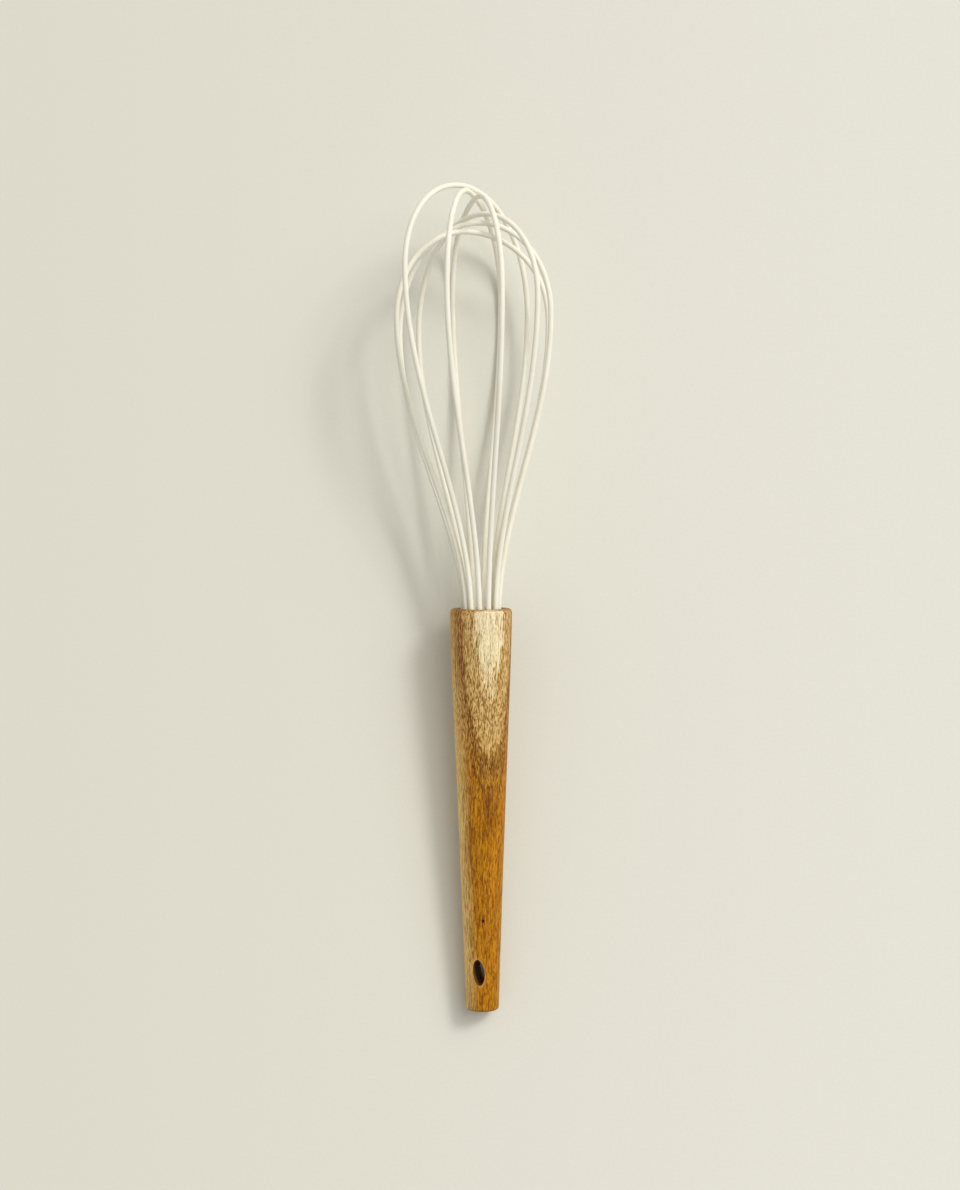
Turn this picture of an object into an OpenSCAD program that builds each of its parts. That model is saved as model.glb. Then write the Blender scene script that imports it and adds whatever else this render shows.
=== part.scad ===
// Balloon whisk at rest on a table: a turned acacia handle, six looped strands of
// silicone sleeve over spring steel, and the resin plug that holds their ends.
// It lies along Y with the balloon towards +Y; it touches the floor with the butt edge
// and with the lowest strands. Shares are parts of 1 of the named size they go with.

/* [Handle] */
// length of the handle from butt to rim
handle_len = 151.5; // [120:0.5:190]
// radius of the handle at the butt
butt_r = 6.2; // [5:0.1:7]
// radius of the handle at the rim of the mouth
rim_r = 11.6; // [10.4:0.1:14]
// rounding of the edge round the butt
butt_round = 1; // [0.4:0.1:1.5]
// rounding of the edge round the rim
rim_round = 1.5; // [0.5:0.1:1.8]

/* [Hanging hole] */
// distance from the butt to the middle of the hole
hole_height = 15.1; // [12:0.1:20]
// width of the oval hole
hole_width = 4.3; // [3:0.1:5]
// length of the oval hole along the handle
hole_length = 9.6; // [6:0.1:12]
// radius of the oval's two ends
hole_end_r = 1.2; // [0.8:0.05:1.4]
// turn of the hole about the handle, from straight up at rest towards the left, in degrees
hole_turn = 12; // [-30:1:30]
// lean of the oval's upper end towards the left, in degrees
hole_lean = 6; // [-20:1:20]

/* [Strands] */
// radius of a silicone sleeve
strand_r = 1; // [0.9:0.05:1.1]
// radius of the spring steel wire inside a sleeve
core_r = 0.6; // [0.4:0.05:0.7]
// radius of the ring on which the twelve strands leave the mouth
ring_r = 6.6; // [6.4:0.05:6.8]
// turn of that whole ring from where the strands sit, in degrees
ring_turn = 0; // [-10:1:10]

/* [Balloon] */
// half of the balloon's full width
belly_r = 30; // [26:0.5:34]
// height of the outermost crown above the rim
crown_height = 157; // [140:1:175]
// pull of a flare at the mouth, as a share of its height
flare_low_share = 0.345; // [0.25:0.005:0.4]
// pull of a flare at the belly, as a share of its height
flare_high_share = 0.355; // [0.25:0.005:0.4]
// pull of a crown at the belly, as a share of the height above the belly
crown_side_share = 0.61; // [0.5:0.01:0.7]
// pull of a crown at its middle, as a share of its half width
crown_middle_share = 0.53; // [0.45:0.01:0.65]

/* [Mouth of the handle] */
// depth of the plug's face below the rim
plug_recess = 4; // [2:0.5:8]
// length of the resin plug
plug_len = 20; // [20:1:30]
// radius of the socket in the handle
socket_r = 8.2; // [8:0.1:8.6]
// how far a sleeve reaches into the plug
sleeve_grip = 12; // [8:1:13]
// how far a steel core reaches out of its sleeve inside the plug
core_grip = 5; // [0:1:6]
// play between a core and its sleeve, a strand and the plug, the plug and the socket
fit_gap = 0.05; // [0.02:0.01:0.08]

/* [Hidden] */

wood_color = [0.64, 0.43, 0.20];
silicone_color = [0.90, 0.88, 0.80];
steel_color = [0.70, 0.71, 0.72];
resin_color = [0.80, 0.77, 0.68];

// The loops are listed from the outermost crown to the innermost one. Each has a near
// end, on the side that faces up at rest, and a far end across the ring from it.
// place of each loop's near end and far end on the ring, as turns from the right towards
// the front, in degrees
seat_turns = [[122, 305], [94, 276], [65, 246], [34, 217], [5, 185], [143, 335]];
// turn of each loop's plane, from the right towards the front, in degrees
loop_turns = [138.5, 109.5, 71.5, 40.5, 8, 160];
// half width of each loop as a share of belly_r, and its crown's height as a share of
// crown_height
loop_size_shares = [
    [1.005, 1.000],
    [0.980, 0.984],
    [0.975, 0.970],
    [0.973, 0.932],
    [0.947, 0.912],
    [1.000, 0.891]
];
// height of each loop's belly at the near and at the far side, as shares of its height
belly_height_shares = [
    [0.797, 0.704],
    [0.765, 0.758],
    [0.769, 0.777],
    [0.787, 0.706],
    [0.762, 0.711],
    [0.767, 0.766]
];
// shift of each loop's belly to the right and to the front, as shares of belly_r
belly_shift_shares = [
    [-0.150, 0.000],
    [-0.063, 0.013],
    [-0.040, 0.010],
    [-0.037, 0.000],
    [-0.060, 0.000],
    [-0.080, 0.000]
];
// shift of each crown's middle to the right and to the front, as shares of belly_r
crown_shift_shares = [
    [-0.203, -0.007],
    [-0.117, 0.017],
    [-0.047, 0.010],
    [-0.020, -0.007],
    [-0.033, 0.007],
    [-0.083, -0.003]
];
// rise of each crown at its middle towards the near side, as a share of its half width
crown_slope_shares = [0.05, 0.13, 0.18, 0.065, 0.01, 0.085];

flare_steps = 11;
crown_steps = 10;
skin_sides = 8;
round_steps = 4;
outline_steps = 16;

function around(turn) = [cos(turn), -sin(turn), 0];
function bezier(p, t) = pow(1 - t, 3) * p[0] + 3 * t * pow(1 - t, 2) * p[1]
    + 3 * t * t * (1 - t) * p[2] + t * t * t * p[3];
function shift(shares) = [shares[0], -shares[1], 0] * belly_r;
function unit(v) = v / norm(v);

// One loop's own measures; side is 1 for the near half and -1 for the far half.
function loop_height(n) = loop_size_shares[n][1] * crown_height;
function half_width(n) = loop_size_shares[n][0] * belly_r;
function belly_height(n, side) = loop_height(n) * belly_height_shares[n][side > 0 ? 0 : 1];
function seat(n, side) = around(ring_turn + seat_turns[n][side > 0 ? 0 : 1]) * ring_r
    + [0, 0, handle_len - plug_recess];
function belly(n, side) = shift(belly_shift_shares[n]) + around(loop_turns[n]) * half_width(n) * side
    + [0, 0, handle_len + belly_height(n, side)];
function crown(n) = shift(crown_shift_shares[n]) + [0, 0, handle_len + loop_height(n)];
function crown_way(n) = (around(loop_turns[n]) + [0, 0, crown_slope_shares[n]]) * half_width(n);

function flare_frame(n, side) = let (
    from = seat(n, side),
    to = belly(n, side),
    rise = [0, 0, to[2] - from[2]]
) [from, from + flare_low_share * rise, to - flare_high_share * rise, to];
function crown_frame(n, side) = let (
    from = belly(n, side),
    to = crown(n),
    rise = [0, 0, to[2] - from[2]]
) [from, from + crown_side_share * rise, to + crown_middle_share * side * crown_way(n), to];

// The middle line of one half, from the plug's face to the crown without its last point.
function half_line(n, side) = concat(
    [for (i = [0 : flare_steps - 1]) bezier(flare_frame(n, side), i / flare_steps)],
    [for (i = [0 : crown_steps - 1]) bezier(crown_frame(n, side), i / crown_steps)]
);
function backwards(list) = [for (i = [len(list) - 1 : -1 : 0]) list[i]];
function loop_line(n, tail) = concat(
    [seat(n, 1) - [0, 0, tail]],
    half_line(n, 1),
    [crown(n)],
    backwards(half_line(n, -1)),
    [seat(n, -1) - [0, 0, tail]]
);

// A ring of skin points round each point of a line, square to the line's way there.
function way(line, i) = unit(line[min(i + 1, len(line) - 1)] - line[max(i - 1, 0)]);
function loop_side(n) = around(loop_turns[n] + 90);
function ring(line, i, n, r) = let (
    ahead = i == 0 || i == len(line) - 1 ? [0, 0, i == 0 ? 1 : -1] : way(line, i),
    across = unit(cross(ahead, loop_side(n))),
    beside = cross(across, ahead)
) [for (k = [0 : skin_sides - 1])
    line[i] + r * (across * cos(360 * k / skin_sides) + beside * sin(360 * k / skin_sides))];
function skin(line, n, r) = [for (i = [0 : len(line) - 1]) each ring(line, i, n, r)];

// Faces between neighbouring rings, seen from outside, with the number of the first point.
function skin_faces(rings, first) = [
    for (i = [0 : rings - 2], k = [0 : skin_sides - 1])
        let (
            a = first + i * skin_sides + k,
            b = first + i * skin_sides + (k + 1) % skin_sides
        )
        each [[a, a + skin_sides, b + skin_sides], [a, b + skin_sides, b]]
];
function turned(faces) = [for (f = faces) [f[2], f[1], f[0]]];
// The flat ring of faces between an outer and an inner skin at one end.
function end_faces(outer, inner) = [
    for (k = [0 : skin_sides - 1])
        let (next = (k + 1) % skin_sides)
        each [
            [outer + k, outer + next, inner + next],
            [outer + k, inner + next, inner + k]
        ]
];

module tube(n, tail, outer_r, inner_r) {
    line = loop_line(n, tail);
    rings = len(line);
    inner = rings * skin_sides;
    last = (rings - 1) * skin_sides;
    polyhedron(
        points = concat(skin(line, n, outer_r), skin(line, n, inner_r)),
        faces = concat(
            skin_faces(rings, 0),
            turned(skin_faces(rings, inner)),
            end_faces(0, inner),
            turned(end_faces(last, inner + last))
        ),
        convexity = 6
    );
}

module wire(n, tail, r) {
    line = loop_line(n, tail);
    rings = len(line);
    last = (rings - 1) * skin_sides;
    polyhedron(
        points = skin(line, n, r),
        faces = concat(
            skin_faces(rings, 0),
            [[for (k = [0 : skin_sides - 1]) k]],
            [[for (k = [0 : skin_sides - 1]) last + skin_sides - 1 - k]]
        ),
        convexity = 6
    );
}

// At rest the butt edge and the lowest strand touch the floor. The tilt is the steepest
// line from the middle of the butt edge's rounding to the middle of a strand.
strand_points = [for (n = [0 : len(loop_turns) - 1]) each loop_line(n, 0)];
edge_middle_r = butt_r - butt_round;
function lean(p) = let (out = p[1] - edge_middle_r, along = p[2] - butt_round)
    atan2(out, along) + asin((strand_r - butt_round) / norm([out, along]));
tilt = max([for (p = strand_points) lean(p)]);
function laid(p) = [p[0], p[1] * sin(tilt) + p[2] * cos(tilt), p[2] * sin(tilt) - p[1] * cos(tilt)];

laid_points = [for (p = strand_points) laid(p)];
left_x = min([for (p = laid_points) p[0]]) - strand_r;
right_x = max([for (p = laid_points) p[0]]) + strand_r;
top_y = max([for (p = laid_points) p[1]]) + strand_r;
butt_y = laid([0, -edge_middle_r, butt_round])[1] - butt_round;
rest_z = butt_round - laid([0, edge_middle_r, butt_round])[2];

module lay() {
    translate([-(left_x + right_x) / 2, -(butt_y + top_y) / 2, rest_z])
        rotate([tilt - 90, 0, 0])
            children();
}

// Steering points of the handle's outline: the height as a share of the length between
// the roundings, and the swell as a share of the growth from butt_r to rim_r.
outline_shares = [[0, 0], [0.55, 0.5], [0.85, 0.95], [1, 1]];
outline_frame = [for (p = outline_shares) [
    butt_r + (rim_r - butt_r) * p[1],
    butt_round + (handle_len - butt_round - rim_round) * p[0]
]];
// The outline itself, from the axis at the butt to the axis at the rim.
outline = concat(
    [[0, 0]],
    [for (i = [0 : round_steps - 1]) [
        butt_r - butt_round + butt_round * sin(90 * i / round_steps),
        butt_round - butt_round * cos(90 * i / round_steps)
    ]],
    [for (i = [0 : outline_steps]) bezier(outline_frame, i / outline_steps)],
    [for (i = [1 : round_steps]) [
        rim_r - rim_round + rim_round * cos(90 * i / round_steps),
        handle_len - rim_round + rim_round * sin(90 * i / round_steps)
    ]],
    [[0, handle_len]]
);

plug_base = handle_len - plug_recess - plug_len;

// The oval hole runs through the handle from front to back. Its outline is four arcs: a
// small one round each end and a wide one along each side, which meets both ends smoothly.
side_arc_r = (pow(hole_width / 2, 2) + pow(hole_length / 2, 2) - hole_length * hole_end_r)
    / (hole_width - 2 * hole_end_r);
end_arc_place = hole_length / 2 - hole_end_r;
arcs_meet = end_arc_place * side_arc_r / (side_arc_r - hole_end_r);

module hanging_hole() {
    reach = 4 * butt_r;
    translate([0, 0, hole_height])
        rotate([0, 0, -hole_turn])
            rotate([90, 0, 0])
                rotate([0, 0, hole_lean]) {
                    for (end = [-1, 1])
                        translate([0, end * end_arc_place, 0])
                            cylinder(r = hole_end_r, h = reach, center = true, $fn = 48);
                    intersection() {
                        translate([side_arc_r - hole_width / 2, 0, 0])
                            cylinder(r = side_arc_r, h = reach, center = true, $fn = 160);
                        translate([hole_width / 2 - side_arc_r, 0, 0])
                            cylinder(r = side_arc_r, h = reach, center = true, $fn = 160);
                        cube([hole_width, 2 * arcs_meet, reach], center = true);
                    }
                }
}

module handle() {
    color(wood_color)
        lay()
            difference() {
                rotate_extrude($fn = 96) polygon(outline);
                translate([0, 0, plug_base])
                    cylinder(r = socket_r, h = plug_len + 2 * plug_recess, $fn = 96);
                hanging_hole();
            }
}

// Each strand has a stepped hole: wide for the sleeve, narrow for the bare wire below it.
module potting_plug() {
    color(resin_color)
        lay()
            difference() {
                translate([0, 0, plug_base])
                    cylinder(r = socket_r - fit_gap, h = plug_len, $fn = 96);
                for (n = [0 : len(seat_turns) - 1], side = [-1, 1])
                    translate(seat(n, side)) {
                        translate([0, 0, -sleeve_grip - fit_gap])
                            cylinder(r = strand_r + fit_gap, h = 2 * sleeve_grip, $fn = 32);
                        translate([0, 0, -sleeve_grip - core_grip - 2 * fit_gap])
                            cylinder(r = core_r + fit_gap, h = sleeve_grip + core_grip, $fn = 32);
                    }
            }
}

module silicone_loop(number) {
    color(silicone_color)
        lay() tube(number - 1, sleeve_grip, strand_r, core_r + fit_gap);
}

module steel_core(number) {
    color(steel_color)
        lay() wire(number - 1, sleeve_grip + core_grip, core_r);
}

handle();
potting_plug();
silicone_loop(1);  // silicone_loop_1
silicone_loop(2);  // silicone_loop_2
silicone_loop(3);  // silicone_loop_3
silicone_loop(4);  // silicone_loop_4
silicone_loop(5);  // silicone_loop_5
silicone_loop(6);  // silicone_loop_6
steel_core(1);  // steel_core_1
steel_core(2);  // steel_core_2
steel_core(3);  // steel_core_3
steel_core(4);  // steel_core_4
steel_core(5);  // steel_core_5
steel_core(6);  // steel_core_6
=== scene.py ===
# %% [markdown]
# # A balloon whisk with silicone strands
# The whisk lies on a pale table and is seen from almost straight above. It has a turned
# acacia handle and six loops of silicone sleeve, each over a spring steel wire. The wires end
# in a plug of resin inside the handle. Nothing on it moves, so every piece rides on the one
# body, root.

# %% Load the frame
import math

import bmesh
import bpy
from mathutils import Matrix, Vector


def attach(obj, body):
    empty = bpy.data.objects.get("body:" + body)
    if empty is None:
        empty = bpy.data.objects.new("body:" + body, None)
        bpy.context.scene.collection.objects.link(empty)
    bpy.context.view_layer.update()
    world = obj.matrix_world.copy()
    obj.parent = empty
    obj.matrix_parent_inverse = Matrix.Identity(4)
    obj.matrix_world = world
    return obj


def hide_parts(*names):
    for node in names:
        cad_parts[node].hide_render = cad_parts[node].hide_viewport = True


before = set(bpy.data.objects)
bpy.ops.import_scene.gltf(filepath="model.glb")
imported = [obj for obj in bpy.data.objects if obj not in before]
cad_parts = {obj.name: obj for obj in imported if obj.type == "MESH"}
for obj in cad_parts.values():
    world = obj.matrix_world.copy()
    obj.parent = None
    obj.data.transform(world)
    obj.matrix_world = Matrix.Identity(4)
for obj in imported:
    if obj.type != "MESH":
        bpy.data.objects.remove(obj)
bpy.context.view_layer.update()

print("nodes in the frame:", len(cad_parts))

# %% [markdown]
# ## Where the whisk lies
# A whisk is easiest to draw standing on its butt, with Z along its axis and its front at -Y.
# At rest it lies with the balloon's belly and the edge of the butt on the table, so the
# axis climbs a little under 5 degrees. One matrix lays each drawn piece down. The place of
# a piece then ends up in its mesh, and its object stays at the origin.

# %% The laid-down place of the axis
MM = 0.001
HANDLE_LEN = 151.5 * MM
BUTT_R = 6.2 * MM
RIM_R = 11.6 * MM
BELLY_R = 30 * MM
CROWN_HEIGHT = 157 * MM
TILT = math.radians(4.8325)
BUTT_AT = Vector((2.129, -153.990, 6.097)) * MM

LAY = Matrix.Translation(BUTT_AT) @ Matrix.Rotation(TILT - math.pi / 2, 4, "X")
rim_at = LAY @ Vector((0, 0, HANDLE_LEN))
print("middle of the rim, in mm:", [round(v / MM, 2) for v in rim_at])

# %% [markdown]
# ## The camera
# The picture was taken from above, about 85 cm over the table, with a fairly long lens. From
# there the strands on top look a little larger than those on the table, so a perspective
# camera is used and not an orthographic one. It aims at the table under the middle of the
# picture.

# %% Camera
CAMERA_AT = Vector((3.25, -26.0, 847.95)) * MM
AIM_AT = Vector((1.78, 2.62, 0.0)) * MM
PICTURE_UP = Vector((0.00373, 0.99942, 0.03373))
FOCAL_LENGTH, SENSOR_WIDTH = 83.08, 36

lens = bpy.data.cameras.new("overhead")
lens.sensor_fit = "HORIZONTAL"
lens.sensor_width = SENSOR_WIDTH
lens.lens = FOCAL_LENGTH
lens.clip_start, lens.clip_end = 0.05, 20
camera = bpy.data.objects.new("overhead", lens)
bpy.context.scene.collection.objects.link(camera)
back = (CAMERA_AT - AIM_AT).normalized()
right = PICTURE_UP.cross(back).normalized()
turn = Matrix((right, back.cross(right), back)).transposed()
camera.matrix_world = Matrix.Translation(CAMERA_AT) @ turn.to_4x4()
bpy.context.scene.camera = camera
print("camera height in mm:", round(CAMERA_AT.z / MM))

# %% [markdown]
# ## Maths on patterns
# Wood and silicone are made of masks that are added, multiplied and compared. Wiring that
# by hand takes a long list of Math nodes. A small class wraps a socket, so that
# `1 - pores * 0.4` adds the nodes by itself.

# %% Masks
class Mask:
    """A number or colour that varies over a surface: one output socket of a finish."""

    def __init__(self, finish, socket):
        self.finish = finish
        self.socket = socket

    def maths(self, operation, *values):
        return self.finish.add("Math", {"operation": operation}, dict(enumerate(values)))

    def __add__(self, other):
        return self.maths("ADD", self, other)

    def __radd__(self, other):
        return self.maths("ADD", other, self)

    def __sub__(self, other):
        return self.maths("SUBTRACT", self, other)

    def __rsub__(self, other):
        return self.maths("SUBTRACT", other, self)

    def __mul__(self, other):
        return self.maths("MULTIPLY", self, other)

    def __rmul__(self, other):
        return self.maths("MULTIPLY", other, self)

    def __truediv__(self, other):
        return self.maths("DIVIDE", self, other)

    def root(self):
        return self.maths("SQRT", self)

    def sine(self):
        return self.maths("SINE", self)

    def between(self, low, high, start=0.0, end=1.0):
        """Runs smoothly from start to end while this value goes from low to high."""
        settings = {"interpolation_type": "SMOOTHSTEP"}
        sockets = {"Value": self, "From Min": low, "From Max": high, "To Min": start, "To Max": end}
        return self.finish.add("MapRange", settings, sockets)


print("what a mask can do:", [name.strip("_") for name in vars(Mask) if callable(getattr(Mask, name))])

# %% [markdown]
# Masks live in the node tree of a material, or of the world. One method adds any other node:
# it takes the node's type, its settings, and the values or links of its sockets. The short
# methods after it are for what most of the finishes need: noise, a blend of two colours,
# bumps and the shader at the end.

# %% Finishes
class Finish:
    """The nodes of a new material, or of the world. Every one of them comes from add."""

    def __init__(self, owner):
        self.owner = owner
        owner.use_nodes = True
        self.tree = owner.node_tree
        self.tree.nodes.clear()

    def add(self, kind, settings=None, sockets=None, output=0):
        node = self.tree.nodes.new("ShaderNode" + kind)
        for name, value in (settings or {}).items():
            if name == "stops":
                ramp = node.color_ramp.elements
                while len(ramp) < len(value):
                    ramp.new(0.5)
                for stop, (place, colour) in zip(ramp, value):
                    stop.position = place
                    stop.color = (*colour, 1.0)
            else:
                setattr(node, name, value)
        for name, value in (sockets or {}).items():
            if isinstance(value, Mask):
                self.tree.links.new(value.socket, node.inputs[name])
            else:
                node.inputs[name].default_value = value
        return Mask(self, node.outputs[output]) if node.outputs else None

    def noise(self, scale, detail):
        """Noise with so many waves per metre, on the piece's Object coordinates."""
        where = self.add("TexCoord", output="Object")
        return self.add("TexNoise", {}, {"Vector": where, "Scale": scale, "Detail": detail})

    def blend(self, amount, base, over, mode="MIX"):
        """The colour base, covered (or multiplied) by the colour over where amount is 1."""
        base, over = [c if isinstance(c, Mask) else (*c, 1.0) for c in (base, over)]
        settings = {"data_type": "RGBA", "blend_type": mode}
        return self.add("Mix", settings, {0: amount, 6: base, 7: over}, output=2)

    def bumps(self, height, distance, strength):
        return self.add("Bump", {}, {"Strength": strength, "Distance": distance, "Height": height})

    def shade(self, sockets):
        shader = self.add("BsdfPrincipled", {}, sockets)
        self.add("OutputMaterial", {}, {"Surface": shader})
        return self.owner


print("what a finish can do:", [name.strip("_") for name in vars(Finish) if callable(getattr(Finish, name))])

# %% [markdown]
# ## The acacia
# Acacia has honey heartwood, paler sapwood and open pores that show as short dark dashes
# along the grain. An image of such wood would be quicker, but it wouldn't run round the side
# of the handle. So the wood is solid: its colour is read from a place in the board, in the
# handle's own upright millimetres. The Mapping node undoes the laying down. All that runs
# along the grain is noise, stretched along Z. Some of it leans, as the real grain does.

# %% Acacia: places and noises
wood = Finish(bpy.data.materials.new("oiled acacia"))
upright = wood.add(
    "Mapping",
    {"vector_type": "TEXTURE"},
    {
        "Vector": wood.add("TexCoord", output="Object"),
        "Location": BUTT_AT,
        "Rotation": (TILT - math.pi / 2, 0, 0),
        "Scale": (MM, MM, MM),
    },
)


def grain_noise(across, along, detail, roughness=0.5, lean=0.0):
    """Noise with so many waves per millimetre across the grain and along it."""
    place = wood.add(
        "Mapping",
        {"vector_type": "POINT"},
        {"Vector": upright, "Rotation": (0, math.radians(lean), 0), "Scale": (across, across, along)},
    )
    sockets = {"Vector": place, "Scale": 1.0, "Detail": detail, "Roughness": roughness}
    return wood.add("TexNoise", {}, sockets)


x, y, z = [wood.add("SeparateXYZ", {}, {"Vector": upright}, output=axis) for axis in "XYZ"]
to_mouth = z.between(72, 112)
sway = grain_noise(0.12, 0.03, detail=3) - 0.5
ripple = grain_noise(0.50, 0.09, detail=4, roughness=0.6, lean=14) - 0.5
dashes = grain_noise(3.2, 0.55, detail=1, lean=27)
lines = grain_noise(3.2, 0.16, detail=1, lean=1)
slants = grain_noise(2.4, 0.16, detail=2, lean=21)
streaks = grain_noise(0.75, 0.035, detail=3, roughness=0.6)
pores = grain_noise(3.6, 0.70, detail=1, lean=8)
print("nodes for places and noises:", len(wood.tree.nodes))

# %% [markdown]
# A turned handle cuts through nearly flat growth layers. Where it swells towards the mouth,
# each layer comes out as a V that points to the butt. To get that, the wood needs a depth
# into the board. It rises towards the front and a little to the right. The layers bend: they
# lie level up to 85 mm from the butt, climb steeply there, and flatten out towards the mouth.
# The noises push the depth about by a millimetre or so, which makes the layers' edges ragged.

# %% Acacia: depth into the board
FACE_TURN = math.radians(19)
BEND_FROM, BEND_MIDDLE = 85, 121
CLIMB, BEND = 0.081, 0.0013
SWAY_MM, RIPPLE_MM, SLANT_MM = 2.6, 2.4, 0.9

climb = z.maths("MAXIMUM", z, BEND_FROM) - BEND_MIDDLE
flat_depth = x * math.sin(FACE_TURN) - y * math.cos(FACE_TURN) + sway * SWAY_MM
depth = flat_depth + climb * CLIMB - climb * climb * BEND
depth = depth + ripple * RIPPLE_MM - slants.between(0.50, 0.62) * to_mouth * SLANT_MM
print("the layers are turned by", round(math.degrees(FACE_TURN)), "degrees from the front")

# %% [markdown]
# The colour ramp below is the board seen layer by layer, from the deep heartwood at its left
# end to the sapwood at its right end. It runs over 16 mm of depth. A dark layer close to the
# sapwood gives its wedge a drawn edge, and a broad one makes the lower V.

# %% Acacia: colour by layer
DEEPEST, BOARD = -4.0, 16.0
LAYERS = [
    (-4.0, (0.620, 0.390, 0.140)),
    (-1.2, (0.620, 0.350, 0.080)),
    (-0.2, (0.540, 0.250, 0.022)),
    (0.5, (0.600, 0.270, 0.014)),
    (1.3, (0.480, 0.195, 0.006)),
    (1.8, (0.600, 0.255, 0.008)),
    (2.4, (0.480, 0.185, 0.005)),
    (3.0, (0.600, 0.260, 0.010)),
    (3.6, (0.530, 0.220, 0.006)),
    (4.2, (0.320, 0.112, 0.004)),
    (4.8, (0.560, 0.265, 0.016)),
    (5.4, (0.400, 0.175, 0.012)),
    (6.7, (0.360, 0.150, 0.012)),
    (7.2, (0.640, 0.390, 0.095)),
    (7.9, (0.760, 0.500, 0.170)),
    (9.9, (0.720, 0.490, 0.205)),
    (10.3, (0.560, 0.330, 0.090)),
    (10.7, (0.800, 0.590, 0.270)),
    (11.3, (0.925, 0.780, 0.470)),
    (12.0, (0.950, 0.840, 0.555)),
]
board = wood.add(
    "ValToRGB",
    {"stops": [((at - DEEPEST) / BOARD, colour) for at, colour in LAYERS]},
    {"Fac": (depth - DEEPEST) / BOARD},
)
print("layers in the board:", len(LAYERS))

# %% [markdown]
# The real handle is pale on its left side, and has a reddish streak next to the mouth on the left. The pale
# left side is partly paler wood and partly painted light: a painted reflection of the pale room, and painted
# light on the side that is turned from the lamps. Both could be layers too, but they don't follow the V
# shapes. So each is a patch: a mask in millimetres says where it lies. The edge of the pale side leans,
# because it keeps to the side of a handle that gets wider. The first two numbers of between() are where a
# mask starts and stops to change: it comes in there, or goes out where 1.0 and 0.0 follow.

# %% Acacia: the pale left side with painted light, and the red streak
LEFT_PALE_AND_PAINTED_LIGHT = (1.000, 0.685, 0.250)
RED_STREAK = (0.370, 0.125, 0.032)
EDGE_LEAN = 0.031

edge = x + z * EDGE_LEAN
# Painted light: the left side is made paler, partly as paler wood and partly as a painted reflection and
# painted light on the side turned from the lamps.
left_pale_and_painted_light = (edge + ripple * 3).between(-7.0, -0.5, 1.0, 0.0)
left_pale_and_painted_light = left_pale_and_painted_light * (1 - 0.45 * z.between(118, 146)) * (0.7 + 0.3 * z.between(2, 16))
red = x.between(-10.4, -9.0) * x.between(-7.2, -5.6, 1.0, 0.0) * z.between(112, 136)
timber = wood.blend(left_pale_and_painted_light * (1 - 0.45 * lines.between(0.48, 0.60)), board, LEFT_PALE_AND_PAINTED_LIGHT)
timber = wood.blend(red * streaks.between(0.40, 0.62) * 0.95, timber, RED_STREAK)
print("nodes with both patches:", len(wood.tree.nodes))

# %% [markdown]
# Over the layers lies the figure: long dark streaks and lines, slanted dashes, and the short marks of open
# pores. Painting them in a dark colour would make the wood look dirty. Oil makes it richer instead, so the
# masks are added up and multiply the wood by one brown tint. The sapwood and the pale left side, with its
# painted reflection and painted light, take less of it. At the tip of the sapwood's wedge the dashes are
# strongest, and near the mouth pale fibres show between them.

# %% Acacia: dark grain and pale fibres
OILED_GRAIN = (0.37, 0.27, 0.14)
PALE_FIBRE = (0.860, 0.620, 0.280)

sapwood = depth.between(10.6, 11.6)
at_tip = z.between(104, 112) * z.between(119, 127, 1.0, 0.0)
dark = dashes.between(0.47, 0.64) * (0.52 + 0.48 * to_mouth) * (1 + 0.8 * at_tip)
dark = dark * (1 - 0.7 * sapwood)
dark = dark + lines.between(0.48, 0.64) * (0.80 - 0.55 * to_mouth)
dark = dark + slants.between(0.50, 0.66) * to_mouth * (0.40 - 0.24 * sapwood)
dark = dark + streaks.between(0.50, 0.66) * 0.36 + pores.between(0.56, 0.68) * 0.55
dark = dark * (1 - 0.6 * left_pale_and_painted_light)
timber = wood.blend(dark, timber, OILED_GRAIN, "MULTIPLY")
fibres = dashes.between(0.34, 0.48, 1.0, 0.0) * to_mouth
timber = wood.blend(fibres * 0.36, timber, PALE_FIBRE)
print("nodes with the grain:", len(wood.tree.nodes))

# %% [markdown]
# The butt and the rim show end grain. It drinks more oil, so it is darker, and the growth
# rings cross it as nearly straight lines. A sine of the depth draws them. The pin knot is the
# trace of a thin twig: a dark dot with a crisp edge, on the front only.

# %% Acacia: end grain and the pin knot
END_GRAIN = (0.200, 0.085, 0.025)
KNOT = (0.020, 0.006, 0.002)
KNOT_X, KNOT_Z = 0.4, 34.9
RIM_Z = HANDLE_LEN / MM

ends = z.between(0.2, 1.1, 1.0, 0.0) + z.between(RIM_Z - 0.9, RIM_Z - 0.2)
rings = (flat_depth * 5).sine().between(-0.1, 0.9)
timber = wood.blend(ends * (0.35 + 0.45 * rings), timber, END_GRAIN)

from_knot = ((x - KNOT_X) * (x - KNOT_X) + (z - KNOT_Z) * (z - KNOT_Z)).root()
knot = from_knot.between(0.45, 0.70, 1.0, 0.0) * y.between(-4.0, -3.0, 1.0, 0.0)
timber = wood.blend(knot, timber, KNOT)
print("pin knot at", KNOT_X, KNOT_Z, "mm")

# %% [markdown]
# The wall of the hanging hole is cut across the grain and drinks more oil, so it is darker, and it gets no
# light: that shade deep inside the narrow hole is painted on it as well, so it is nearly black. It could
# have a material of its own, but then the handle would bake as two surfaces. A mask on the hole's own oval
# finds it instead, and one on a narrow ring around it finds the lip, which gets a pale painted highlight
# along its rounded edge. The gloss is the low sheen of an oil finish, duller along the open grain.

# %% Acacia: the hole, the gloss and the shader
HOLE_Z = 15.1
HOLE_W, HOLE_L = 4.3, 9.6
HOLE_TURN, HOLE_LEAN = math.radians(12), math.radians(6)
HOLE_OIL_AND_SHADE = (0.075, 0.014, 0.003)
LIP_PAINTED_HIGHLIGHT = (0.900, 0.660, 0.360)
PORE_DEPTH = 0.08 * MM

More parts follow.
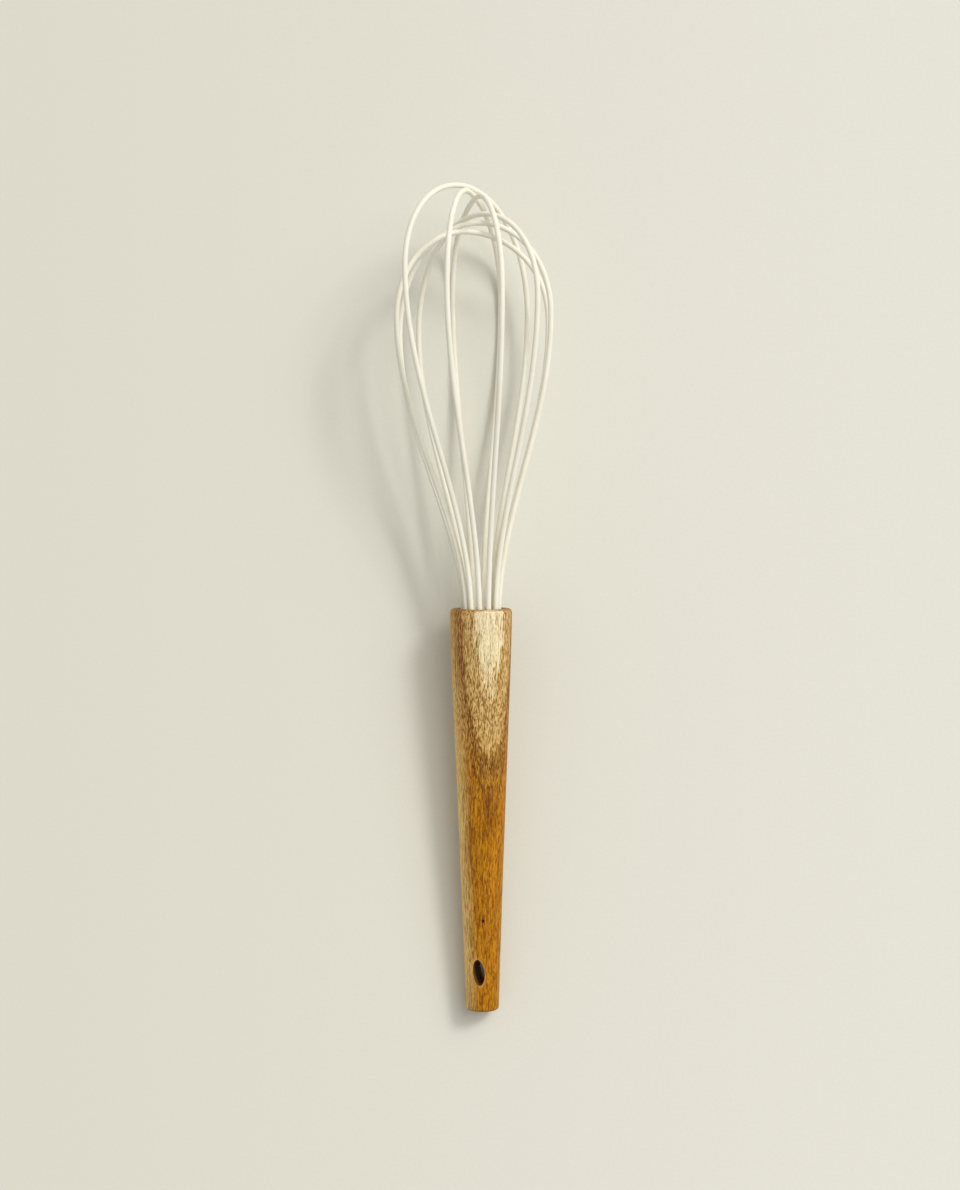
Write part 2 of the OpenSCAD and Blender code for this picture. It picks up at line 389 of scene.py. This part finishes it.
sideways = x * math.cos(HOLE_TURN) - y * math.sin(HOLE_TURN)
wide = (sideways * math.cos(HOLE_LEAN) + (z - HOLE_Z) * math.sin(HOLE_LEAN)) / (HOLE_W / 2)
long = ((z - HOLE_Z) * math.cos(HOLE_LEAN) - sideways * math.sin(HOLE_LEAN)) / (HOLE_L / 2)
from_hole = (wide * wide + long * long).root()
in_hole = from_hole.between(0.98, 1.06, 1.0, 0.0)
lip_painted_highlight = from_hole.between(1.04, 1.10) * from_hole.between(1.12, 1.24, 1.0, 0.0)
# Painted shade: the hole's wall is darkened nearly to black, partly as oiled end grain and partly as painted
# shade of the deep hole.
timber = wood.blend(in_hole * 0.93, timber, HOLE_OIL_AND_SHADE)
# Painted highlight: a narrow ring on the rounded lip of the hole is made paler than the wood.
timber = wood.blend(lip_painted_highlight * 0.2, timber, LIP_PAINTED_HIGHLIGHT)

relief = lines * 0.4 - dashes * 0.6 - pores * 0.6
oiled_acacia = wood.shade({
    "Base Color": timber,
    "Roughness": 0.42 + 0.2 * lines + 0.3 * in_hole,
    "Normal": wood.bumps(relief, PORE_DEPTH, 0.6),
    "Coat Weight": 0.02,
    "Coat Roughness": 0.35,
    "Specular IOR Level": 0.12,
})
print("nodes in the acacia:", len(wood.tree.nodes))

# %% [markdown]
# ## The handle
# The real handle is turned on a lathe, so its outline is drawn once and spun. The outline
# is one smooth curve from the butt to the rim, with the socket for the resin plug cut in
# from above. The two outer edges and the edge of the socket are bevelled after the spin, as
# sandpaper breaks them.

# %% Spin the outline
BUTT_ROUND, RIM_ROUND, SOCKET_ROUND = 1.0 * MM, 1.5 * MM, 0.4 * MM
SOCKET_R, SOCKET_DEPTH = 8.2 * MM, 24 * MM
OUTLINE_SHARES = [(0, 0), (0.55, 0.5), (0.85, 0.95), (1, 1)]
CURVE_STEPS, TURN_STEPS, ROUND_STEPS = 24, 112, 6
WELD, SAME_PLACE = 1e-6, 1e-5


def curve_point(p, t):
    """The point of a cubic Bezier curve at the share t of its way."""
    return (
        p[0] * (1 - t) ** 3 + p[1] * 3 * t * (1 - t) ** 2 + p[2] * 3 * t * t * (1 - t) + p[3] * t ** 3
    )


swell = RIM_R - BUTT_R
rise = HANDLE_LEN - BUTT_ROUND - RIM_ROUND
steer = [Vector((BUTT_R + swell * out, 0, BUTT_ROUND + rise * up)) for up, out in OUTLINE_SHARES]
socket_floor = HANDLE_LEN - SOCKET_DEPTH
outline = [Vector((0, 0, 0)), Vector((BUTT_R, 0, 0))]
outline += [curve_point(steer, i / CURVE_STEPS) for i in range(1, CURVE_STEPS)]
outline += [Vector((RIM_R, 0, HANDLE_LEN)), Vector((SOCKET_R, 0, HANDLE_LEN))]
outline += [Vector((SOCKET_R, 0, socket_floor)), Vector((0, 0, socket_floor))]

turned = bmesh.new()
points = [turned.verts.new(p) for p in outline]
line = [turned.edges.new(pair) for pair in zip(points, points[1:])]
bmesh.ops.spin(
    turned, geom=points + line, cent=(0, 0, 0), axis=(0, 0, 1), angle=math.tau, steps=TURN_STEPS,
    use_merge=True, use_duplicate=False,
)
bmesh.ops.remove_doubles(turned, verts=turned.verts, dist=WELD)
bmesh.ops.recalc_face_normals(turned, faces=turned.faces)


def ring_edges(mesh, radius, height):
    """The edges of the ring at this radius and height."""
    def on_ring(v):
        return abs(v.co.xy.length - radius) < SAME_PLACE and abs(v.co.z - height) < SAME_PLACE
    return [e for e in mesh.edges if all(on_ring(v) for v in e.verts)]


for radius, height, size in (
    (BUTT_R, 0, BUTT_ROUND), (RIM_R, HANDLE_LEN, RIM_ROUND), (SOCKET_R, HANDLE_LEN, SOCKET_ROUND)
):
    bmesh.ops.bevel(
        turned, geom=ring_edges(turned, radius, height), offset=size, offset_type="OFFSET",
        affect="EDGES", segments=ROUND_STEPS, profile=0.5, material=-1,
    )
print("faces in the turned handle:", len(turned.faces))

# %% [markdown]
# The hanging hole is an oval slot, cut a little to the left of the front. A prism of its
# outline is taken away with a Boolean modifier, which is the one tool that cuts clean
# through a curved wall.

# %% Cut the hanging hole
HOLE_STEPS = 56
PRISM_LEN = 40 * MM


def to_object(name, shape, mesh=None):
    """An object at the origin with the bmesh's shape, in a new mesh or in the one given."""
    mesh = mesh or bpy.data.meshes.new(name)
    shape.to_mesh(mesh)
    shape.free()
    thing = bpy.data.objects.new(name, mesh)
    bpy.context.scene.collection.objects.link(thing)
    return thing


def finished_mesh(thing):
    """A new mesh of the object, as its modifiers or its curve's bevel make it look."""
    return bpy.data.meshes.new_from_object(thing.evaluated_get(bpy.context.evaluated_depsgraph_get()))


oval = bmesh.new()
bmesh.ops.create_circle(oval, cap_ends=True, segments=HOLE_STEPS, radius=1.0)
bmesh.ops.scale(oval, vec=(HOLE_W / 2 * MM, HOLE_L / 2 * MM, 1), verts=oval.verts)
sides = bmesh.ops.extrude_face_region(oval, geom=oval.faces[:])
top = [v for v in sides["geom"] if isinstance(v, bmesh.types.BMVert)]
bmesh.ops.translate(oval, verts=top, vec=(0, 0, PRISM_LEN))
bmesh.ops.translate(oval, verts=oval.verts, vec=(0, 0, -PRISM_LEN / 2))
bmesh.ops.recalc_face_normals(oval, faces=oval.faces)
hole_place = (
    Matrix.Translation((0, 0, HOLE_Z * MM))
    @ Matrix.Rotation(-HOLE_TURN, 4, "Z")
    @ Matrix.Rotation(math.pi / 2, 4, "X")
    @ Matrix.Rotation(HOLE_LEAN, 4, "Z")
)
bmesh.ops.transform(oval, matrix=hole_place, verts=oval.verts)

cutter = to_object("hole_cutter", oval)
blank = to_object("handle_blank", turned)
cut = blank.modifiers.new("hanging hole", "BOOLEAN")
cut.operation, cut.object, cut.solver = "DIFFERENCE", cutter, "EXACT"
drilled = finished_mesh(blank)
for leftover in (cutter, blank):
    bpy.data.objects.remove(leftover)
print("faces in the drilled handle:", len(drilled.polygons))

# %% [markdown]
# A drilled hole has a knife-sharp lip, and a real one is sanded. The lip is every edge
# between the wall of the hole and the outside, so a test on the faces finds it, and a small
# bevel softens it. Then the handle is laid down and takes the place of the CAD node.

# %% Soften the lip and lay the handle down
LIP_ROUND, LIP_STEPS = 0.28 * MM, 3
ON_WALL = 0.02
SHARP_FROM = math.radians(35)

to_hole = hole_place.inverted()
handle_shape = bmesh.new()
handle_shape.from_mesh(drilled)


def on_hole_wall(face):
    middle = to_hole @ face.calc_center_median()
    return abs(math.hypot(middle.x / (HOLE_W / 2 * MM), middle.y / (HOLE_L / 2 * MM)) - 1) < ON_WALL


lip = [
    e for e in handle_shape.edges
    if len(e.link_faces) == 2 and sum(on_hole_wall(f) for f in e.link_faces) == 1
]
bmesh.ops.bevel(
    handle_shape, geom=lip, offset=LIP_ROUND, offset_type="OFFSET", affect="EDGES",
    segments=LIP_STEPS, profile=0.5, material=-1, clamp_overlap=True,
)
bmesh.ops.transform(handle_shape, matrix=LAY, verts=handle_shape.verts)
for face in handle_shape.faces:
    face.smooth = True
handle = to_object("acacia_handle", handle_shape, drilled)
drilled.set_sharp_from_angle(angle=SHARP_FROM)
handle.data.materials.clear()
handle.data.materials.append(oiled_acacia)
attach(handle, "root")
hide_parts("handle")
print("edges in the lip of the hole:", len(lip))

# %% [markdown]
# ## The silicone
# The sleeves are extruded from warm off-white silicone. It is smooth and satin, takes in a
# little light, and shows a faint cloudiness and dust. A plain plastic would look too hard,
# so a little subsurface light is added as one constant value.

# %% Silicone finish
WARM_WHITE, DUSTY_WHITE = (0.905, 0.875, 0.765), (0.875, 0.835, 0.705)
SKIN_DEPTH = 0.02 * MM

rubber = Finish(bpy.data.materials.new("cream silicone"))
cloud = rubber.noise(70, detail=3)
skin = rubber.noise(1400, detail=2)
cream_silicone = rubber.shade({
    "Base Color": rubber.blend(cloud.between(0.35, 0.7), WARM_WHITE, DUSTY_WHITE),
    "Roughness": 0.58 + 0.14 * cloud,
    "Specular IOR Level": 0.35,
    "Normal": rubber.bumps(skin, SKIN_DEPTH, 0.4),
    "Subsurface Weight": 0.15,
    "Subsurface Radius": (1.0, 0.8, 0.4),
    "Subsurface Scale": 0.8 * MM,
})
print("nodes in the silicone:", len(rubber.tree.nodes))

# %% [markdown]
# ## The six loops
# Each loop leaves the plug straight up, flares out to its belly, and closes over the top.
# The real ones are wires bent round a former, so a Bezier spline is the natural tool: one
# point at the plug's face, one at the belly and one at the crown, with handles that run
# along the wire. No two loops lean alike, so each has a row in the table.

# %% The table of loops
RING_R = 6.6 * MM
PLUG_RECESS, SLEEVE_GRIP = 4 * MM, 12 * MM
FLARE_LOW, FLARE_HIGH = 0.345, 0.355
CROWN_SIDE, CROWN_MIDDLE = 0.61, 0.53
UP = Vector((0, 0, 1))

# seat near and far, turn of the plane, half width, height, belly height near and far,
# belly shift right and front, crown shift right and front, slope of the crown
LOOPS = [
    (122, 305, 138.5, 1.005, 1.000, 0.797, 0.704, -0.150, 0.000, -0.203, -0.007, 0.050),
    (94, 276, 109.5, 0.980, 0.984, 0.765, 0.758, -0.063, 0.013, -0.117, 0.017, 0.130),
    (65, 246, 71.5, 0.975, 0.970, 0.769, 0.777, -0.040, 0.010, -0.047, 0.010, 0.180),
    (34, 217, 40.5, 0.973, 0.932, 0.787, 0.706, -0.037, 0.000, -0.020, -0.007, 0.065),
    (5, 185, 8.0, 0.947, 0.912, 0.762, 0.711, -0.060, 0.000, -0.033, 0.007, 0.010),
    (143, 335, 160.0, 1.000, 0.891, 0.767, 0.766, -0.080, 0.000, -0.083, -0.003, 0.085),
]


def around(degrees):
    """The way out from the axis at this turn, counted from the right towards the front."""
    a = math.radians(degrees)
    return Vector((math.cos(a), -math.sin(a), 0))


def knots(row):
    """The spline's points, each with the handle before it and the handle after it."""
    seat_near, seat_far, plane, width, height, near, far, bx, by, cx, cy, slope = row
    width, height = width * BELLY_R, height * CROWN_HEIGHT
    crown = Vector((cx, -cy, 0)) * BELLY_R + UP * (HANDLE_LEN + height)
    over = (around(plane) + UP * slope) * width * CROWN_MIDDLE
    halves = []
    for side, seat, share in ((1, seat_near, near), (-1, seat_far, far)):
        start = around(seat) * RING_R + UP * (HANDLE_LEN - PLUG_RECESS)
        belly = Vector((bx, -by, 0)) * BELLY_R + around(plane) * width * side
        belly += UP * (HANDLE_LEN + share * height)
        flare, arch = UP * (belly.z - start.z), UP * (crown.z - belly.z)
        tail = start - UP * SLEEVE_GRIP
        halves.append([
            (tail, tail, tail + UP * SLEEVE_GRIP / 3),
            (start, start - UP * SLEEVE_GRIP / 3, start + flare * FLARE_LOW),
            (belly, belly - flare * FLARE_HIGH, belly + arch * CROWN_SIDE),
        ])
    back_down = [(p, after, before) for p, before, after in reversed(halves[1])]
    return halves[0] + [(crown, crown + over, crown - over)] + back_down


print("knots per loop:", len(knots(LOOPS[0])))

# %% [markdown]
# A round bevel gives the curve its thickness. The curve could stay a curve, but a mesh bakes
# and exports without surprises, so it is made one. Solidify then gives the tube a wall on its
# inner side, and what is left is the bore for the steel core.

# %% Bend and hollow the sleeves
STRAND_R, WALL = 1.0 * MM, 0.35 * MM
KNOT_STEPS, ROUNDNESS = 26, 4
SEAM = 1e-7


def sleeve(number, row):
    name = f"sleeve_{number}"
    curve = bpy.data.curves.new(name, "CURVE")
    curve.dimensions = "3D"
    curve.resolution_u = KNOT_STEPS
    curve.bevel_depth, curve.bevel_resolution = STRAND_R, ROUNDNESS
    spline = curve.splines.new("BEZIER")
    route = knots(row)
    spline.bezier_points.add(len(route) - 1)
    for knot, (place, before, after) in zip(spline.bezier_points, route):
        knot.handle_left_type = knot.handle_right_type = "FREE"
        knot.co, knot.handle_left, knot.handle_right = LAY @ place, LAY @ before, LAY @ after
    wire = bpy.data.objects.new(name, curve)
    bpy.context.scene.collection.objects.link(wire)
    mesh = finished_mesh(wire)
    bpy.data.objects.remove(wire)
    tube = bmesh.new()
    tube.from_mesh(mesh)
    bmesh.ops.remove_doubles(tube, verts=tube.verts, dist=SEAM)
    bmesh.ops.recalc_face_normals(tube, faces=tube.faces)
    for face in tube.faces:
        face.smooth = True
    piece = to_object(name, tube, mesh)
    hollow = piece.modifiers.new("bore", "SOLIDIFY")
    hollow.thickness, hollow.offset = WALL, -1
    piece.data.materials.clear()
    piece.data.materials.append(cream_silicone)
    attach(piece, "root")
    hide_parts(f"silicone_loop_{number}")
    return piece


for number, row in enumerate(LOOPS, start=1):
    piece = sleeve(number, row)
    print(piece.name, "faces:", len(piece.data.polygons))

# %% [markdown]
# ## The steel and the resin
# The wires and the plug hardly show, but they are there when someone looks into the mouth
# or takes the whisk apart. Their CAD shapes are right, so they only get a finish: drawn
# wire with uneven gloss, and poured resin with a cloudy face.

# %% Steel cores and the potting plug
BRIGHT_STEEL, GREY_STEEL = (0.62, 0.62, 0.63), (0.44, 0.44, 0.46)
PALE_RESIN, DEEP_RESIN = (0.66, 0.61, 0.48), (0.54, 0.49, 0.37)
RESIN_DIMPLES = 0.1 * MM

steel = Finish(bpy.data.materials.new("drawn spring steel"))
drawn = steel.noise(2600, detail=2)
spring_steel = steel.shade({
    "Base Color": steel.blend(drawn, BRIGHT_STEEL, GREY_STEEL),
    "Metallic": 1.0,
    "Roughness": 0.26 + 0.2 * drawn,
})

resin = Finish(bpy.data.materials.new("poured resin"))
cloudy = resin.noise(420, detail=4)
poured_resin = resin.shade({
    "Base Color": resin.blend(cloudy.between(0.3, 0.7), PALE_RESIN, DEEP_RESIN),
    "Roughness": 0.38 + 0.25 * cloudy,
    "Normal": resin.bumps(cloudy, RESIN_DIMPLES, 0.5),
})

for name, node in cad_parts.items():
    finish = spring_steel if name.startswith("steel_core") else poured_resin
    if name.startswith(("steel_core", "potting_plug")):
        node.data.materials.clear()
        node.data.materials.append(finish)
print("finished CAD nodes:", sum(name.startswith(("steel", "potting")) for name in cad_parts))

# %% [markdown]
# ## The table
# The table is plain and pale. It is painted a shade darker at the left, as a painted fall-off of the light
# from the window at the upper right, which the sun lamps don't give. A speckle so faint that it only takes
# the flatness away lies over it. A backdrop that curves up behind the whisk would do as well. One flat
# square is simpler, and it is so large that no view finds its end.

# %% Table
LEFT_TABLE_PAINTED_DIM, RIGHT_TABLE_PAINTED_LIT = (0.733, 0.714, 0.630), (0.794, 0.788, 0.715)
SPECKLE = (0.400, 0.385, 0.350)
HALF_WIDTH = 20.0

table = Finish(bpy.data.materials.new("pale table"))
where = table.add("TexCoord", output="Object")
from_left = table.add("SeparateXYZ", {}, {"Vector": where}, output="X")
fine = table.noise(900, detail=2)
# Painted light: the table's colour darkens towards the left as the window's light would fall off.
ground = table.blend(from_left.between(-0.20, 0.20), LEFT_TABLE_PAINTED_DIM, RIGHT_TABLE_PAINTED_LIT)
ground = table.blend(fine.between(0.40, 0.60) * 0.03, ground, SPECKLE)
pale_table = table.shade({
    "Base Color": ground,
    "Roughness": 0.75 + 0.1 * fine,
    "Specular IOR Level": 0.2,
})
slab = bmesh.new()
bmesh.ops.create_grid(slab, x_segments=1, y_segments=1, size=HALF_WIDTH)
floor = to_object("table", slab)
floor.data.materials.append(pale_table)
print("table size in m:", round(floor.dimensions.x, 2))

# %% [markdown]
# ## The light
# The shadows fall to the lower left, a fairly sharp one inside a wide soft one. That is a
# window with a bright curtain around it. Area lamps could play them, but they fade with
# distance. Two sun lamps from the upper right, about 45 degrees up, light every view alike:
# one narrow and one wide. A third, weak and very wide, is the light that comes back from the
# left.

# %% Lamps
DAYLIGHT = (1.0, 0.985, 0.955)
WALL_LIGHT = (1.0, 0.99, 0.97)


def lamp(name, towards, energy, spread, colour):
    """A sun lamp, so many degrees wide, that shines from the side that towards points to."""
    data = bpy.data.lights.new(name, "SUN")
    data.energy = energy
    data.angle = math.radians(spread)
    data.color = colour
    made = bpy.data.objects.new(name, data)
    bpy.context.scene.collection.objects.link(made)
    made.rotation_mode = "QUATERNION"
    made.rotation_quaternion = Vector(towards).to_track_quat("Z", "Y")
    print(name, "energy:", energy)


lamp("window", (0.73, 0.70, 1.0), 1.05, 14, DAYLIGHT)
lamp("curtain", (0.64, 0.57, 1.0), 1.37, 50, DAYLIGHT)
lamp("bounce", (-1.0, -0.15, 0.6), 0.14, 80, WALL_LIGHT)

# %% [markdown]
# The rest of the room fills in the shadows from all sides, which is what the world is for.
# Cameras, mirrors and glass see a paler world than the one that lights the table, so a view
# from the side has a pale background without more light on the whisk. The Standard view
# shows the colours as they are written.

# %% The room
ROOM_COLOUR = (0.97, 0.96, 0.92, 1.0)
FILL, BACKDROP = 0.42, 0.95

room = Finish(bpy.data.worlds.new("room"))
bpy.context.scene.world = room.owner
seen = room.add("LightPath", output="Is Camera Ray")
for ray in ("Is Glossy Ray", "Is Transmission Ray"):
    seen = seen.maths("MAXIMUM", seen, room.add("LightPath", output=ray))
level = room.add("MapRange", {}, {"Value": seen, "To Min": FILL, "To Max": BACKDROP})
glow = room.add("Background", {}, {"Color": ROOM_COLOUR, "Strength": level})
room.add("OutputWorld", {}, {"Surface": glow})

bpy.context.scene.view_settings.view_transform = "Standard"
print("the room lights with", FILL, "and is seen with", BACKDROP)

# %% [markdown]
